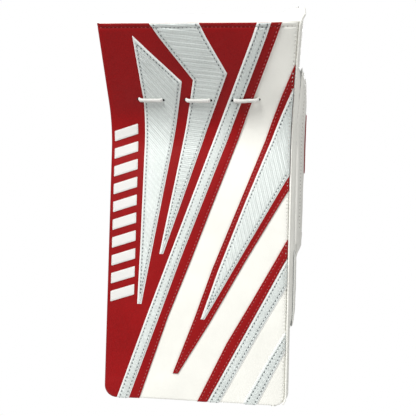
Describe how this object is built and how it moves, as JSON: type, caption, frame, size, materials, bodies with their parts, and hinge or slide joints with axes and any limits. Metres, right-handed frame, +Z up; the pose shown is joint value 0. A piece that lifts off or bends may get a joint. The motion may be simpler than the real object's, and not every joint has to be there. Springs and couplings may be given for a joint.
{
  "type": "ice hockey goalkeeper blocker",
  "caption": "Long padded board, flat below and curled forward at the top, with a glove, cuff and side guards on its back; worn on the stick hand to knock pucks away.",
  "frame": {"origin": "the middle of the palm cavity, where the hand is", "axes": "+Z up the board, from the fingertips to the wrist; -Y out of the front face that meets the puck; +X to the thumb side"},
  "size_m": [0.2106, 0.1653, 0.382],
  "materials": {
    "white_leather": "smooth coated synthetic leather",
    "red_leather": "smooth coated synthetic leather",
    "silver_leather": "pearl coated synthetic leather with embossed ribs",
    "grey_fabric": "woven nylon",
    "black_fabric": "woven nylon and knitted mesh",
    "palm_leather": "soft suede-like palm leather",
    "foam": "closed-cell foam",
    "stiff_plastic": "smooth sheet",
    "lace": "braided cord",
    "hook_and_loop": "hook and loop tape"
  },
  "bodies": {
    "root": {"face_skin": "white_leather", "gusset_right": "white_leather", "gusset_bottom": "white_leather", "gusset_top": "white_leather", "piping_right": "white_leather", "guard_upper_skin": "white_leather", "guard_lower_skin": "white_leather", "cuff": "white_leather", "gusset_left": "red_leather", "red_field": "red_leather", "red_wedge": "red_leather", "red_stripe_lower": "red_leather", "palm_patch": "red_leather", "silver_stripe_lower": "silver_leather", "silver_stripe_corner": "silver_leather", "silver_blade_long": "silver_leather", "silver_blade_bent": "silver_leather", "silver_stripe_main": "silver_leather", "silver_wedge": "silver_leather", "back_cover": "grey_fabric", "guard_upper_lining": "grey_fabric", "guard_lower_lining": "grey_fabric", "hand_pad": "black_fabric", "cuff_pad_thumb_side": "black_fabric", "cuff_pad_far_side": "black_fabric", "strap_anchor": "black_fabric", "palm_sleeve": "palm_leather", "core_front": "foam", "core_back": "foam", "guard_upper_foam": "foam", "guard_lower_foam": "foam", "stiffener": "stiff_plastic", "lace_left": "lace", "lace_middle": "lace", "lace_right": "lace", "loop_patch": "hook_and_loop"},
    "index": {"finger_index": "palm_leather"},
    "middle": {"finger_middle": "palm_leather"},
    "ring": {"finger_ring": "palm_leather"},
    "little": {"finger_little": "palm_leather"},
    "thumb": {"thumb_stall": "palm_leather", "thumb_foam": "foam", "thumb_shield": "white_leather"},
    "strap": {"strap": "black_fabric", "strap_hook_patch": "hook_and_loop"}
  },
  "joints": [
    {"name": "index_knuckle", "type": "hinge", "parent": "root", "child": "index", "pos_m": [0.0375, -0.003, -0.055], "axis": [1, 0, 0], "range_deg": [0, 60]},
    {"name": "middle_knuckle", "type": "hinge", "parent": "root", "child": "middle", "pos_m": [0.0125, -0.003, -0.055], "axis": [1, 0, 0], "range_deg": [0, 60]},
    {"name": "ring_knuckle", "type": "hinge", "parent": "root", "child": "ring", "pos_m": [-0.0125, -0.003, -0.055], "axis": [1, 0, 0], "range_deg": [0, 60]},
    {"name": "little_knuckle", "type": "hinge", "parent": "root", "child": "little", "pos_m": [-0.0375, -0.003, -0.055], "axis": [1, 0, 0], "range_deg": [0, 60]},
    {"name": "thumb_base", "type": "hinge", "parent": "root", "child": "thumb", "pos_m": [0.065, 0.007, 0.007], "axis": [0.7006, 0.5184, 0.4904], "range_deg": [-10, 30]},
    {"name": "strap_opening", "type": "hinge", "parent": "root", "child": "strap", "pos_m": [-0.055, 0.0065, 0.085], "axis": [0, 0, 1], "range_deg": [0, 110]}
  ]
}
